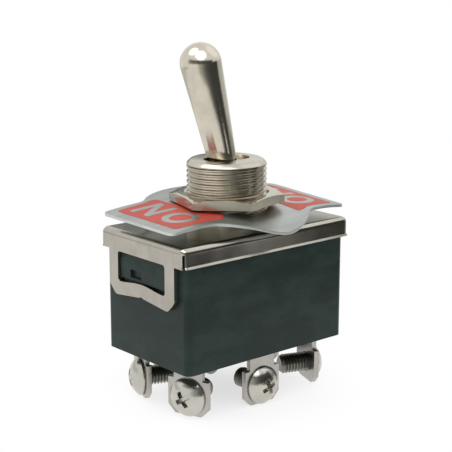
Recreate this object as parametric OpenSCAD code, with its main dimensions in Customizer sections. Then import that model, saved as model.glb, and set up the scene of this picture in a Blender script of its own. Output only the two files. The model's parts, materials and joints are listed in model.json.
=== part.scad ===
// Heavy-duty two-pole panel toggle switch with a threaded bushing, a clipped
// steel cover on a moulded housing, a warped ON-OFF indicator plate under the
// panel nut, and six screw terminals. Inside, the lever's tail carries two
// sprung plungers that tip two see-saw contact bars.
//
// Origin: on the bushing's axis, in the cover's top face. +Z runs up the
// bushing, +X along the cover, and the front faces -Y. The lever is drawn
// thrown towards -X.

/* [Cover] */
// Length over the end flanges
cover_l = 32.1; // [30:0.1:40]
// Width over the side flanges
cover_w = 19.4; // [18.6:0.1:26]
// Thickness of the steel sheet
cover_t = 0.8; // [0.5:0.05:1]
// Depth of the skirt below the top face
skirt_h = 2.9; // [2.2:0.1:3.4]
// Outside radius of the folds and of the closed corners
fold_r = 0.9; // [0.6:0.05:1.2]
// Slit between the flanges at each corner
corner_slit = 0.35; // [0.2:0.05:0.8]

/* [Cover clips] */
// Width of the clip tab on each end
clip_w = 15.2; // [13:0.1:16]
// Depth of the clip tab's lowest corners below the top face
clip_drop = 9.6; // [9:0.1:12]
// Chamfer on the tab's lower corners
clip_chamfer = 1.5; // [0.5:0.1:2]
// Rise of the tab's lower edge towards its middle
clip_edge_rise = 0.65; // [0:0.05:0.9]
// Width of the window in the tab
window_w = 11; // [8:0.1:12]
// Depth of the window's upper edge below the top face
window_top = 3; // [2.8:0.1:4]
// Depth of the window's lower corners below the top face
window_drop = 7.45; // [6.9:0.05:8]
// Rise of the window's crimped lower edge at its middle
crimp_rise = 0.5; // [0.2:0.05:0.8]
// Width of the nick that the crimping tool leaves below the window
nick_w = 0.7; // [0.3:0.1:1.2]
// Height of the nick
nick_h = 0.2; // [0.1:0.05:0.4]

/* [Housing] */
// Gap between the housing and the folded flanges
flange_fit = 0.07; // [0.02:0.01:0.2]
// Set-back of the housing's side walls from the skirt
side_setback = 0.2; // [0:0.05:0.6]
// Depth of the housing's underside below the cover's top face
body_drop = 18.5; // [17.5:0.1:26]
// Radius of the housing's upright edges
body_edge_r = 1; // [0.4:0.1:2]
// Thickness of the housing's end walls
end_wall = 1.8; // [1.4:0.1:2]
// Thickness of the housing's side walls below the skirt
side_wall = 1.9; // [1.7:0.1:2.2]
// Thickness of the housing's floor
floor_t = 3; // [2:0.1:3.6]
// Thickness of the barrier between the two poles
barrier_t = 1.4; // [1:0.1:1.8]
// Thickness of the insulating sheet under the cover
gasket_t = 0.3; // [0.15:0.05:0.5]

/* [Bushing and nut] */
// Diameter of the bushing over its thread
bushing_d = 11.86; // [11.6:0.02:12.4]
// Height of the bushing above the cover
bushing_h = 9.5; // [9.2:0.1:14]
// Pitch of the bushing's thread
thread_pitch = 0.79; // [0.7:0.01:1]
// Chamfer at the top of the bushing
bushing_chamfer = 0.6; // [0.3:0.05:1]
// Diameter of the bushing's foot under the cover
foot_d = 13.6; // [12.8:0.1:14.4]
// Thickness of the bushing's foot
foot_t = 1.4; // [1:0.1:1.6]
// Length of the lever's slot in the bushing's top
slot_l = 7.5; // [7:0.1:8.4]
// Panel nut across its flats
nut_af = 14.9; // [14:0.1:17]
// Thickness of the panel nut
nut_h = 1.45; // [1.2:0.05:2.5]
// Height of the panel nut's lower face above the cover
nut_z = 3.14; // [3.1:0.02:5]
// Turn of the panel nut about the bushing, in degrees
nut_turn = 15; // [0:1:59]
// Height of the chamfer round the nut's upper face
nut_chamfer = 0.55; // [0.2:0.05:0.8]

/* [Indicator plate] */
// Length of the indicator plate
plate_l = 33.5; // [28:0.1:38]
// Width of the plate's two wings
wing_w = 16.3; // [12:0.1:18]
// Radius of the plate's round middle
lobe_r = 12.35; // [10.5:0.05:13]
// Thickness of the plate
plate_t = 0.4; // [0.3:0.05:0.6]
// Radius of the wings' corners
wing_corner_r = 1; // [0.3:0.1:3]
// Fillet between the wings and the round middle
lobe_fillet = 2.5; // [1:0.1:5]
// Height of the plate's middle above the cover
plate_z = 2.6; // [2.5:0.02:2.64]
// Tilt of the plate towards the front, in degrees
plate_tilt = 1.95; // [0:0.05:2.2]
// Fall of the plate from its middle to its right end
plate_fall = 0.13; // [0:0.01:0.2]
// Twist of the plate, as the lift of its back right corner
plate_twist = 0.15; // [0:0.01:0.2]
// Droop of the plate's two ends
wing_droop = 0.74; // [0.4:0.02:1]
// Depth of the dent that bends the front lobe down to the cover
front_dip = 2; // [0:0.05:2.1]
// Distance of that dent to the right of the bushing
dip_x = 1.7; // [0:0.1:4]
// Length of that dent along the plate
dip_l = 6.7; // [5:0.1:9]

/* [Lever] */
// Tilt of the lever at each end of its throw, in degrees
lever_tilt = 15.5; // [12:0.1:15.8]
// Height of the lever's pivot above the cover
pivot_z = 6.3; // [6:0.05:6.5]
// Length of the lever above its pivot
lever_l = 21.1; // [16:0.1:30]
// Diameter of the lever's rounded tip
tip_d = 6; // [5:0.1:9]
// Diameter of the lever where it leaves the bushing
neck_d = 4.3; // [3.6:0.05:4.5]
// Diameter of the lever's pivot ball
ball_d = 6.9; // [6.6:0.05:7.1]
// Diameter of the tail below the ball
tail_d = 3.5; // [3:0.1:3.6]
// Diameter of the pivot pin
pin_d = 1.6; // [1.2:0.05:2]
// Length of the pivot pin
pin_l = 9; // [8.4:0.1:9.4]

/* [Carrier and plungers] */
// Length of the insulating carrier along the switch
carrier_l = 6.4; // [5.4:0.1:6.8]
// Height of the carrier
carrier_h = 5.4; // [5:0.1:5.6]
// Wall outside each plunger in the carrier
carrier_wall = 1.1; // [0.8:0.1:1.3]
// Diameter of the carrier's rivet spigot
spigot_d = 2.4; // [2:0.1:2.8]
// Diameter of each plunger
plunger_d = 2.6; // [2:0.1:3]
// Length of each plunger inside the carrier
plunger_seat = 1.8; // [1.5:0.1:2.2]
// Stroke of each plunger
plunger_stroke = 0.8; // [0.4:0.1:1]
// Wire diameter of the plunger springs
wire_d = 0.4; // [0.3:0.02:0.45]
// Number of turns of the plunger springs
spring_turns = 5; // [4:0.5:5.5]

/* [Contact bars] */
// Length of each contact bar from its pivot to its end
bar_reach = 8.7; // [8:0.1:9]
// Width of each contact bar
bar_w = 4.5; // [3.8:0.1:4.7]
// Thickness of each contact bar
bar_t = 0.6; // [0.4:0.05:0.8]
// Rise of the bar's wings, in degrees
bar_rise = 11; // [9:0.5:12]
// Tilt of each contact bar at each end of the throw, in degrees
bar_tilt = 5; // [4:0.5:6]
// Diameter of the bar's round knuckle
knuckle_d = 1.8; // [1.4:0.1:2]
// Distance of the contacts from the bar's pivot
contact_reach = 7.2; // [6.8:0.1:7.3]
// Diameter of the contacts
contact_d = 2.6; // [2:0.1:3]
// Height of each contact's head
contact_h = 0.5; // [0.3:0.05:0.7]
// Diameter of the contacts' rivet shanks
rivet_d = 1.2; // [0.8:0.1:1.4]

/* [Terminals] */
// Thickness of the terminal strip
strip_t = 0.8; // [0.6:0.05:1]
// Width of the terminal tabs
tab_w = 6.7; // [5.8:0.1:7.4]
// Width of the stems above the tabs
stem_w = 4.8; // [4:0.1:5.2]
// Length of the bare stem between the housing and the tab
stem_l = 2; // [1.2:0.1:3]
// Height of the tabs
tab_h = 5.4; // [5:0.1:7]
// Chamfer on the tabs' lower corners
tab_chamfer = 1.2; // [0.4:0.1:1.8]
// Distance of the middle terminals' outer faces inside the housing's sides
mid_inset = 1.35; // [1.2:0.05:1.5]
// Extra reach of the middle tabs below the corner tabs
mid_drop = 0.4; // [0:0.1:1]
// Distance of the corner terminals' outer faces inside the housing's ends
corner_end_inset = 2.98; // [2.8:0.02:3.4]
// Distance of the corner terminals' outer faces inside the housing's sides
corner_side_inset = 3.8; // [3.7:0.05:4.2]
// Outward turn of the corner terminals, in degrees
corner_turn = 20; // [10:1:22]
// Height of the knuckle's axis above the middle terminals' shelf
saddle_h = 2.2; // [2:0.1:2.6]
// Gap between the two ears of each saddle
saddle_gap = 4.95; // [4.9:0.05:5.1]

/* [Terminal screws] */
// Diameter of the screw thread
screw_d = 3; // [2.5:0.1:3.2]
// Length of the screws under the head
screw_l = 5.2; // [4:0.1:6]
// Diameter of the screw heads
head_d = 5.7; // [5:0.1:6]
// Height of the screw heads
head_h = 1.7; // [1.4:0.1:2.2]
// Distance of the screw axis above the tab's lower edge
screw_up = 2.8; // [2.5:0.1:3.2]
// Length of the cross recess in each screw head
recess_l = 3.2; // [2.4:0.1:3.6]
// Width of the cross recess
recess_w = 0.7; // [0.4:0.05:0.9]
// Depth of the cross recess
recess_depth = 1; // [0.4:0.1:1.2]
// Turn of the cross recess, in degrees
recess_turn = 20; // [0:5:85]

/* [Fits] */
// Radial clearance of the bushing in the cover
bushing_fit = 0.05; // [0.02:0.01:0.1]
// Radial clearance of the nut's thread on the bushing
thread_fit = 0.05; // [0.02:0.01:0.1]
// Radial clearance of the plate's hole on the bushing
plate_fit = 0.12; // [0.06:0.01:0.3]
// Radial clearance of the pivot ball, its pin and the bars' knuckles
pivot_fit = 0.05; // [0.02:0.01:0.08]
// Radial clearance of the plungers in the carrier
plunger_fit = 0.05; // [0.02:0.01:0.08]
// Clearance of the clip windows round the housing's lugs
clip_fit = 0.1; // [0.05:0.01:0.3]
// Play of the lever's neck in its slot
slot_play = 0.3; // [0.2:0.05:0.5]
// Clearance of the gasket round the bushing's foot
foot_fit = 0.1; // [0.05:0.05:0.2]
// Gap between the barrier and the carrier's sweep
sweep_gap = 0.6; // [0.4:0.1:1]
// Clearance at each end of a plunger spring
spring_fit = 0.03; // [0.01:0.01:0.1]
// Clearance of the terminal stems in the housing
stem_fit = 0.05; // [0.02:0.01:0.1]
// Radial clearance of rivets and screws in the strip
rivet_fit = 0.02; // [0.01:0.01:0.05]
// Gap left at a closed contact
contact_gap = 0.04; // [0.02:0.01:0.1]
// Least gap between a plunger's tip and its bar over the throw
tip_gap = 0.06; // [0.03:0.01:0.2]

/* [Hidden] */
$fn = 72;
cut = 0.1;                                  // overshoot of every cutting shape

NICKEL = [0.74, 0.72, 0.69];
STEEL = [0.70, 0.69, 0.66];
PHENOLIC = [0.10, 0.12, 0.12];
FIBRE = [0.42, 0.33, 0.24];
BRASS = [0.80, 0.66, 0.36];
SILVER = [0.86, 0.86, 0.84];
ALUMINIUM = [0.72, 0.73, 0.73];

// Housing
body_l = cover_l - 2 * (cover_t + flange_fit);
neck_w = cover_w - 2 * (cover_t + flange_fit);
body_w = cover_w - 2 * side_setback;
body_top = -cover_t - gasket_t;
shoulder_z = -skirt_h - flange_fit;
cavity_l = body_l - 2 * end_wall;
cavity_w = body_w - 2 * side_wall;
floor_z = -body_drop + floor_t;
lug_w = window_w - 2 * clip_fit;
lug_top = -window_top - clip_fit;
lug_bottom = -(window_drop - crimp_rise - clip_fit);
lug_out = cover_t / 2 + flange_fit;
lug_ramp = 1;                               // depth of the lug's lead-in
pocket = [0.4, 2.6, 1.2, 0.35];             // side gap, length, height, rise of the lug's pocket
barrier_drop = 2;                           // barrier's top edge below the skirt

// Bushing
bushing_r = bushing_d / 2;
// The nut's stretch is drawn at the thread's pitch diameter, on the bushing and in the nut
pitch_r = bushing_r - 0.325 * thread_pitch;
thread_lead = 0.1;                          // that stretch runs past the nut's faces
free_from = nut_z + nut_h + thread_lead;    // the free thread above the nut starts here
thread_start = bushing_h - bushing_chamfer; // top of the full thread
foot_z = -cover_t - foot_t;
seat_r = ball_d / 2 + pivot_fit;
slot_w = neck_d + slot_play;
chamfer_r = 0.6 * nut_af;                   // the nut's chamfer cone: radius at its foot
chamfer_run = 1.8;                          // and how far it leans in
slot_floor = 1.7;                           // floor of the lever's slot above the pivot
flare_z = 1.5;                              // the bore widens below this height
flare_r = seat_r + 1.15;

// Lever and what it carries, as distances below the pivot
tip_r = tip_d / 2;
plunger_r = plunger_d / 2;
neck_up = 3.6;                              // top of the straight neck above the pivot
tip_up = lever_l - tip_r;
carrier_gap = 1.9;                          // from the bushing's foot to the carrier
bore_roof = 0.5;                            // carrier left above each plunger's spring
carrier_edge_r = 1;
head_reach = 0.5;                           // rivet head below the carrier
carrier_top = pivot_z - foot_z + carrier_gap;
carrier_bottom = carrier_top + carrier_h;
bore_top = carrier_top + bore_roof;
mid_row = body_w / 2 - mid_inset;
pole_y = mid_row - strip_t - saddle_gap / 2;
carrier_w = 2 * (pole_y + plunger_r + carrier_wall);
sweep_r = norm([carrier_bottom, carrier_l / 2]);
plunger_top = carrier_bottom - plunger_seat;

// Contact bars and saddles
knuckle_r = knuckle_d / 2;
knuckle_z = floor_z + strip_t + saddle_h;
ear_up = 0.4;                               // ears stand this far above the knuckle's axis
saddle_room = 1;                            // slot left free above the ears
ear_z = knuckle_z + ear_up;
throw_steps = 16;
// The tip reaches as far as every position of the throw allows
tip_reach = plunger_r + min([for (k = [0:throw_steps])
    let(lean = lever_tilt * k / throw_steps, rise = bar_rise - bar_tilt * k / throw_steps)
    ((pivot_z - knuckle_z) * cos(rise) - bar_t / 2 - plunger_r - tip_gap) / cos(lean - rise)]);
closed_rise = bar_rise - bar_tilt;
contact_drop = bar_t / 2 + contact_h;
dome_r = 1.6 * contact_d;                   // radius of the moving contacts' domes
fixed_d = contact_d + 0.4;
clinch = 0.15;                              // rivet shank left above the bar
bar_corner_r = 1;
ear_end = 0.05;                             // the knuckle's ends stand this far inside the ears
ledge_in = 2.4;                             // ledge reaches this far inside the contact's axis
contact_z = knuckle_z + contact_reach * sin(closed_rise)
    + (dome_r - contact_drop) * cos(closed_rise) - dome_r - contact_gap;
contact_x = contact_reach * cos(closed_rise) - (dome_r - contact_drop) * sin(closed_rise);
ledge_z = contact_z - contact_h - strip_t;
ledge_x = contact_x - ledge_in;

// Terminals
corner_x = body_l / 2 - corner_end_inset;
corner_y = body_w / 2 - corner_side_inset;
pad_r = contact_d / 2 + 0.7;                // round pad under each fixed contact
tab_top = -body_drop - stem_l;
tab_bottom = tab_top - tab_h;
screw_z = tab_bottom + screw_up;

// ---------------------------------------------------------------- helpers

module rounded_rect(l, w, r) {
    square([l - 2 * r, w], center = true);
    square([l, w - 2 * r], center = true);
    for (x = [-1, 1], y = [-1, 1])
        translate([x * (l / 2 - r), y * (w / 2 - r)]) circle(r);
}

// A block from its lowest corner to its highest
module block(low, high) {
    translate(low) cube(high - low);
}

// A pin or bore along Y, between two distances from the centre plane
module y_rod(r, low, high) {
    translate([0, low, 0]) rotate([-90, 0, 0]) cylinder(r = r, h = high - low);
}

module on_both_ends() {
    children();
    mirror([1, 0, 0]) children();
}

module on_both_sides() {
    children();
    mirror([0, 1, 0]) children();
}

// Copies a right-hand back piece to the end and side asked for
module at_corner(end, side) {
    mirror([end < 0 ? 1 : 0, 0, 0]) mirror([0, side < 0 ? 1 : 0, 0]) children();
}

// The frame of a terminal's tab: +X points out of its outer face
module corner_frame() {
    translate([corner_x, corner_y, 0]) rotate([0, 0, corner_turn]) children();
}

module mid_frame() {
    translate([0, mid_row, 0]) rotate([0, 0, 90]) children();
}

// ---------------------------------------------------------------- cover

// A block with its upright edges and the edges of its top all rounded alike
module rounded_block(l, w, h, r) {
    in_l = l / 2 - r;
    in_w = w / 2 - r;
    translate([0, 0, -h]) linear_extrude(h - r) rounded_rect(l, w, r);
    block([-in_l, -in_w, -r - cut], [in_l, in_w, 0]);
    for (y = [-in_w, in_w]) translate([-in_l, y, -r])
        rotate([0, 90, 0]) cylinder(r = r, h = 2 * in_l);
    for (x = [-in_l, in_l]) translate([x, 0, -r]) y_rod(r, -in_w, in_w);
    for (x = [-in_l, in_l], y = [-in_w, in_w]) translate([x, y, -r]) sphere(r);
}

function window_floor(y) = -window_drop
    + crimp_rise * (1 + cos(180 * min(1, abs(y) / (window_w / 2)))) / 2;

module clip_window() {
    steps = 24;
    polygon([
        for (i = [0:steps]) let(y = window_w * (i / steps - 0.5)) [y, window_floor(y)],
        [window_w / 2, -window_top],
        [-window_w / 2, -window_top]
    ]);
}

module clip_outline() {
    half = clip_w / 2;
    foot = half - clip_chamfer;
    polygon([
        [-half, -skirt_h + cut], [-half, -clip_drop + clip_chamfer], [-foot, -clip_drop],
        [-nick_w / 2, -clip_drop + clip_edge_rise],
        [0, -clip_drop + clip_edge_rise + nick_h],
        [nick_w / 2, -clip_drop + clip_edge_rise],
        [foot, -clip_drop], [half, -clip_drop + clip_chamfer], [half, -skirt_h + cut]
    ]);
}

// The mitred slit that parts two flanges, below the closed corner
module mitre_slit() {
    translate([cover_l / 2, cover_w / 2, -skirt_h - cut]) rotate([0, 0, 45])
        translate([-3 * cover_t, -corner_slit / 2, 0])
            cube([4 * cover_t, corner_slit, skirt_h + cut - fold_r]);
}

module cover() color(NICKEL) difference() {
    union() {
        rounded_block(cover_l, cover_w, skirt_h, fold_r);
        on_both_ends() translate([cover_l / 2 - cover_t, 0, 0]) rotate([90, 0, 90])
            linear_extrude(cover_t) clip_outline();
    }
    block([cover_t - cover_l / 2, cover_t - cover_w / 2, -2 * clip_drop],
          [cover_l / 2 - cover_t, cover_w / 2 - cover_t, -cover_t]);
    on_both_ends() on_both_sides() mitre_slit();
    on_both_ends() translate([cover_l / 2 - cover_t - cut, 0, 0]) rotate([90, 0, 90])
        linear_extrude(cover_t + 2 * cut) clip_window();
    translate([0, 0, -cover_t - cut])
        cylinder(r = bushing_r + bushing_fit, h = cover_t + 2 * cut);
}

// ---------------------------------------------------------------- housing

module housing_shell() {
    translate([0, 0, -body_drop]) linear_extrude(body_drop + shoulder_z)
        rounded_rect(body_l, body_w, body_edge_r);
    translate([0, 0, shoulder_z]) linear_extrude(body_top - shoulder_z)
        rounded_rect(body_l, neck_w, body_edge_r);
}

// The lug in the clip window: a lead-in at the top, a square catch below
module clip_lug() {
    reach = body_l / 2 + lug_out;
    root = body_l / 2 - cut;
    difference() {
        translate([0, lug_w / 2, 0]) rotate([90, 0, 0]) linear_extrude(lug_w)
            polygon([
                [root, lug_top], [body_l / 2, lug_top], [reach, lug_top - lug_ramp],
                [reach, lug_bottom], [root, lug_bottom]
            ]);
        block([body_l / 2 - cover_t / 2, pocket[0], lug_bottom + pocket[3]],
              [reach + cut, pocket[0] + pocket[1], lug_bottom + pocket[3] + pocket[2]]);
    }
}

// The slot that a terminal's stem stands in, in its tab's frame
module stem_slot(top) {
    block([-strip_t - stem_fit, -stem_w / 2 - stem_fit, -body_drop - cut],
          [stem_fit, stem_w / 2 + stem_fit, top]);
}

module cavity() {
    block([-cavity_l / 2, -cavity_w / 2, floor_z], [cavity_l / 2, cavity_w / 2, 0]);
}

module contact_ledge() {
    block([ledge_x, 0, floor_z - cut], [cavity_l / 2 + cut, cavity_w / 2 + cut, ledge_z]);
}

module pole_barrier() {
    difference() {
        block([-cavity_l / 2 - cut, -barrier_t / 2, floor_z - cut],
              [cavity_l / 2 + cut, barrier_t / 2, -skirt_h - barrier_drop]);
        translate([0, 0, pivot_z]) y_rod(sweep_r + sweep_gap, -barrier_t, barrier_t);
    }
}

module housing() color(PHENOLIC) difference() {
    union() {
        difference() {
            housing_shell();
            cavity();
        }
        on_both_ends() clip_lug();
        on_both_ends() on_both_sides() contact_ledge();
        pole_barrier();
    }
    on_both_ends() on_both_sides() corner_frame() stem_slot(ledge_z + strip_t + stem_fit);
    on_both_sides() mid_frame() stem_slot(ear_z + saddle_room);
}

module gasket() color(FIBRE) translate([0, 0, body_top]) linear_extrude(gasket_t)
    difference() {
        rounded_rect(body_l, neck_w, body_edge_r);
        circle(foot_d / 2 + foot_fit);
    }

// ---------------------------------------------------------------- bushing and nut

module lever_slot() {
    translate([0, 0, pivot_z + slot_floor]) linear_extrude(bushing_h) {
        square([slot_l - slot_w, slot_w], center = true);
        for (x = [-1, 1]) translate([x * (slot_l - slot_w) / 2, 0]) circle(slot_w / 2);
    }
}

// Two grooves, open below, whose round upper ends seat the pivot pin
module pin_grooves() {
    r = pin_d / 2 + rivet_fit;
    end = pin_l / 2 + rivet_fit;
    translate([0, 0, pivot_z]) y_rod(r, -end, end);
    block([-r, -end, foot_z - cut], [r, end, pivot_z]);
}

module bushing() color(NICKEL) difference() {
    union() {
        cylinder(r = bushing_r, h = nut_z - thread_lead);
        cylinder(r = pitch_r, h = thread_start);
        translate([0, 0, free_from]) cylinder(r = bushing_r, h = thread_start - free_from);
        translate([0, 0, thread_start])
            cylinder(r1 = bushing_r, r2 = bushing_r - bushing_chamfer, h = bushing_chamfer);
        translate([0, 0, -cover_t]) cylinder(r = bushing_r, h = cover_t);
        translate([0, 0, foot_z]) cylinder(d = foot_d, h = foot_t);
    }
    translate([0, 0, pivot_z]) sphere(seat_r);
    translate([0, 0, foot_z - cut]) cylinder(r = seat_r, h = pivot_z - foot_z + cut);
    translate([0, 0, foot_z]) cylinder(r1 = flare_r, r2 = seat_r, h = flare_z - foot_z);
    lever_slot();
    pin_grooves();
}

module panel_nut() color(NICKEL) translate([0, 0, nut_z]) difference() {
    across_corners = nut_af / cos(30);
    straight = nut_h - nut_chamfer;
    intersection() {
        rotate([0, 0, nut_turn]) cylinder(d = across_corners, h = nut_h, $fn = 6);
        union() {
            cylinder(r = chamfer_r, h = straight);
            translate([0, 0, straight])
                cylinder(r1 = chamfer_r, r2 = chamfer_r - chamfer_run, h = nut_chamfer);
        }
    }
    translate([0, 0, -cut]) cylinder(r = pitch_r + thread_fit, h = nut_h + 2 * cut);
}

// ---------------------------------------------------------------- indicator plate

wing_half = wing_w / 2;
plate_half = plate_l / 2;
fillet_x = sqrt(pow(lobe_r + lobe_fillet, 2) - pow(wing_half + lobe_fillet, 2));
lobe_x = fillet_x * lobe_r / (lobe_r + lobe_fillet);

// Half the plate's width at a distance along it: a round middle, a fillet, a wing
function plate_width(x) = let(u = abs(x), c = plate_half - wing_corner_r)
    u < lobe_x ? sqrt(pow(lobe_r, 2) - u * u)
    : u < fillet_x ? wing_half + lobe_fillet
        - sqrt(max(0, pow(lobe_fillet, 2) - pow(u - fillet_x, 2)))
    : u < c ? wing_half
    : wing_half - wing_corner_r
        + sqrt(max(0, pow(wing_corner_r, 2) - pow(u - c, 2)));

// Height of the bent sheet: drooping ends, a slight twist, a dent in the front lobe
function plate_height(x, y) = let(u = x / plate_half, v = max(0, -y / lobe_r))
    plate_z + y * tan(plate_tilt) - plate_fall * u + plate_twist * u * y / wing_half
    - wing_droop * pow(abs(u), 3)
    - front_dip * exp(-pow((x - dip_x) / dip_l, 2)) * pow(v, 1.5);

module warped_sheet() {
    across = 12;
    along = 62;
    c = plate_half - wing_corner_r;
    stations = concat(
        [for (i = [4:-1:1]) -c - wing_corner_r * sin(22.5 * i)],
        [for (i = [0:along]) c * (2 * i / along - 1)],
        [for (i = [1:4]) c + wing_corner_r * sin(22.5 * i)]);
    rows = len(stations);
    cols = across + 1;
    skin = [for (lift = [plate_t / 2, -plate_t / 2], x = stations, j = [0:across])
        let(y = plate_width(x) * (2 * j / across - 1))
        [x, y, plate_height(x, y) + lift]];
    under = rows * cols;
    function at(i, j, side) = side * under + i * cols + j;
    polyhedron(skin, concat(
        [for (i = [0:rows - 2], j = [0:across - 1])
            [at(i, j, 0), at(i, j + 1, 0), at(i + 1, j + 1, 0)]],
        [for (i = [0:rows - 2], j = [0:across - 1])
            [at(i, j, 0), at(i + 1, j + 1, 0), at(i + 1, j, 0)]],
        [for (i = [0:rows - 2], j = [0:across - 1])
            [at(i, j, 1), at(i + 1, j + 1, 1), at(i, j + 1, 1)]],
        [for (i = [0:rows - 2], j = [0:across - 1])
            [at(i, j, 1), at(i + 1, j, 1), at(i + 1, j + 1, 1)]],
        [for (i = [0:rows - 2])
            [at(i, 0, 0), at(i + 1, 0, 0), at(i + 1, 0, 1), at(i, 0, 1)]],
        [for (i = [0:rows - 2])
            [at(i + 1, across, 0), at(i, across, 0), at(i, across, 1), at(i + 1, across, 1)]],
        [for (j = [0:across - 1])
            [at(0, j + 1, 0), at(0, j, 0), at(0, j, 1), at(0, j + 1, 1)]],
        [for (j = [0:across - 1])
            [at(rows - 1, j, 0), at(rows - 1, j + 1, 0),
             at(rows - 1, j + 1, 1), at(rows - 1, j, 1)]]
    ));
}

module indicator_plate() color(ALUMINIUM) difference() {
    warped_sheet();
    translate([0, 0, -cut]) cylinder(r = bushing_r + plate_fit, h = 2 * plate_z);
}

// ---------------------------------------------------------------- lever

// The lever's own frame: its pivot at the origin, its tip up
module lever_frame(tilt = lever_tilt) {
    translate([0, 0, pivot_z]) rotate([0, -tilt, 0]) children();
}

module lever() color(NICKEL) lever_frame() difference() {
    union() {
        translate([0, 0, tip_up]) sphere(tip_r);
        translate([0, 0, neck_up])
            cylinder(r1 = neck_d / 2, r2 = tip_r, h = tip_up - neck_up);
        cylinder(d = neck_d, h = neck_up);
        sphere(d = ball_d);
        translate([0, 0, -carrier_top]) cylinder(d = tail_d, h = carrier_top);
        translate([0, 0, -carrier_bottom - head_reach]) {
            cylinder(d = spigot_d, h = carrier_h + head_reach + cut);
            cylinder(d = 1.5 * spigot_d, h = head_reach);
        }
    }
    y_rod(pin_d / 2 + pivot_fit, -ball_d, ball_d);
}

module pivot_pin() color(STEEL)
    translate([0, 0, pivot_z]) y_rod(pin_d / 2, -pin_l / 2, pin_l / 2);

module carrier() color(FIBRE) lever_frame() difference() {
    translate([0, 0, -carrier_bottom]) linear_extrude(carrier_h)
        rounded_rect(carrier_l, carrier_w, carrier_edge_r);
    translate([0, 0, -carrier_bottom - cut])
        cylinder(r = spigot_d / 2 + rivet_fit, h = carrier_h + 2 * cut);
    on_both_sides() translate([0, pole_y, -carrier_bottom - cut])
        cylinder(r = plunger_r + plunger_fit, h = carrier_bottom - bore_top + cut);
}

module plunger(side) color(PHENOLIC) lever_frame() translate([0, side * pole_y, 0]) {
    translate([0, 0, plunger_r - tip_reach]) sphere(plunger_r);
    translate([0, 0, plunger_r - tip_reach])
        cylinder(r = plunger_r, h = tip_reach - plunger_r - plunger_top);
}

// A round wire wound on a helix, drawn as rings of a few sides
module plunger_spring(side) color(STEEL) lever_frame() translate([0, side * pole_y, 0]) {
    coil_r = plunger_r - wire_d / 2 - 2 * plunger_fit;
    sides = 6;
    per_turn = 14;
    rings = round(per_turn * spring_turns);
    low = -plunger_top + wire_d / 2 + spring_fit;
    high = -bore_top - wire_d / 2 - spring_fit;
    points = [for (i = [0:rings], k = [0:sides - 1])
        let(turn = 360 * i / per_turn, a = 360 * k / sides,
            r = coil_r + wire_d / 2 * cos(a))
        [r * cos(turn), r * sin(turn), low + (high - low) * i / rings + wire_d / 2 * sin(a)]];
    polyhedron(points, concat(
        [[for (k = [0:sides - 1]) k]],
        [[for (k = [sides - 1:-1:0]) rings * sides + k]],
        [for (i = [0:rings - 1], k = [0:sides - 1]) let(n = (k + 1) % sides)
            [i * sides + k, (i + 1) * sides + k, (i + 1) * sides + n]],
        [for (i = [0:rings - 1], k = [0:sides - 1]) let(n = (k + 1) % sides)
            [i * sides + k, (i + 1) * sides + n, i * sides + n]]
    ));
}

// ---------------------------------------------------------------- contact bars

// A bar's own frame: the knuckle's axis at the origin, tipped as the lever leaves it
module bar_frame(side) {
    translate([0, side * pole_y, knuckle_z]) rotate([0, bar_tilt, 0]) children();
}

module wing_frame(end) {
    rotate([0, -end * bar_rise, 0]) translate([end * contact_reach, 0, 0]) children();
}

// Half a bar, from the pivot to its rounded end, in its wing's frame
module wing() {
    end = bar_reach - contact_reach;
    half = bar_w / 2;
    inner = end - bar_corner_r;
    block([-contact_reach, -half, -bar_t / 2], [inner, half, bar_t / 2]);
    block([inner - cut, bar_corner_r - half, -bar_t / 2], [end, half - bar_corner_r, bar_t / 2]);
    for (y = [-1, 1]) translate([inner, y * (half - bar_corner_r), -bar_t / 2])
        cylinder(r = bar_corner_r, h = bar_t);
}

module rocker(side) color(BRASS) bar_frame(side) {
    ear_reach = saddle_gap / 2 + strip_t - ear_end;
    difference() {
        y_rod(knuckle_r, -ear_reach, ear_reach);
        block([-knuckle_r - cut, -bar_w / 2, 0], [knuckle_r + cut, bar_w / 2, knuckle_r + cut]);
    }
    for (end = [-1, 1]) wing_frame(end) difference() {
        mirror([end < 0 ? 1 : 0, 0, 0]) wing();
        cylinder(r = rivet_d / 2 + rivet_fit, h = 2 * bar_t, center = true);
    }
}

// A contact rivet: its domed face down, its shank up through the bar
module moving_contact(end, side) color(SILVER) bar_frame(side) wing_frame(end) {
    intersection() {
        translate([0, 0, -contact_drop]) cylinder(d = contact_d, h = contact_h);
        translate([0, 0, dome_r - contact_drop]) sphere(dome_r);
    }
    translate([0, 0, -bar_t / 2 - cut]) cylinder(d = rivet_d, h = bar_t + cut + clinch);
}

module fixed_contact(end, side) color(SILVER) at_corner(end, side)
    translate([contact_x, pole_y, 0]) {
        translate([0, 0, contact_z - contact_h]) cylinder(d = fixed_d, h = contact_h);
        translate([0, 0, ledge_z]) cylinder(d = rivet_d, h = strip_t + cut);
    }

// ---------------------------------------------------------------- terminals

// The tab and its stem, in the tab's own frame
module tab(top, drop = 0) {
    half = tab_w / 2;
    stem = stem_w / 2;
    high = tab_top - drop;
    low = tab_bottom - drop;
    rotate([90, 0, -90]) linear_extrude(strip_t)
        polygon([
            [-stem, top], [-stem, high], [-half, high],
            [-half, low + tab_chamfer], [-half + tab_chamfer, low],
            [half - tab_chamfer, low], [half, low + tab_chamfer],
            [half, high], [stem, high], [stem, top]
        ]);
}

module screw_hole(drop = 0) {
    translate([-2 * strip_t, 0, screw_z - drop]) rotate([0, 90, 0])
        cylinder(r = screw_d / 2 + rivet_fit, h = 3 * strip_t);
}

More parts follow.
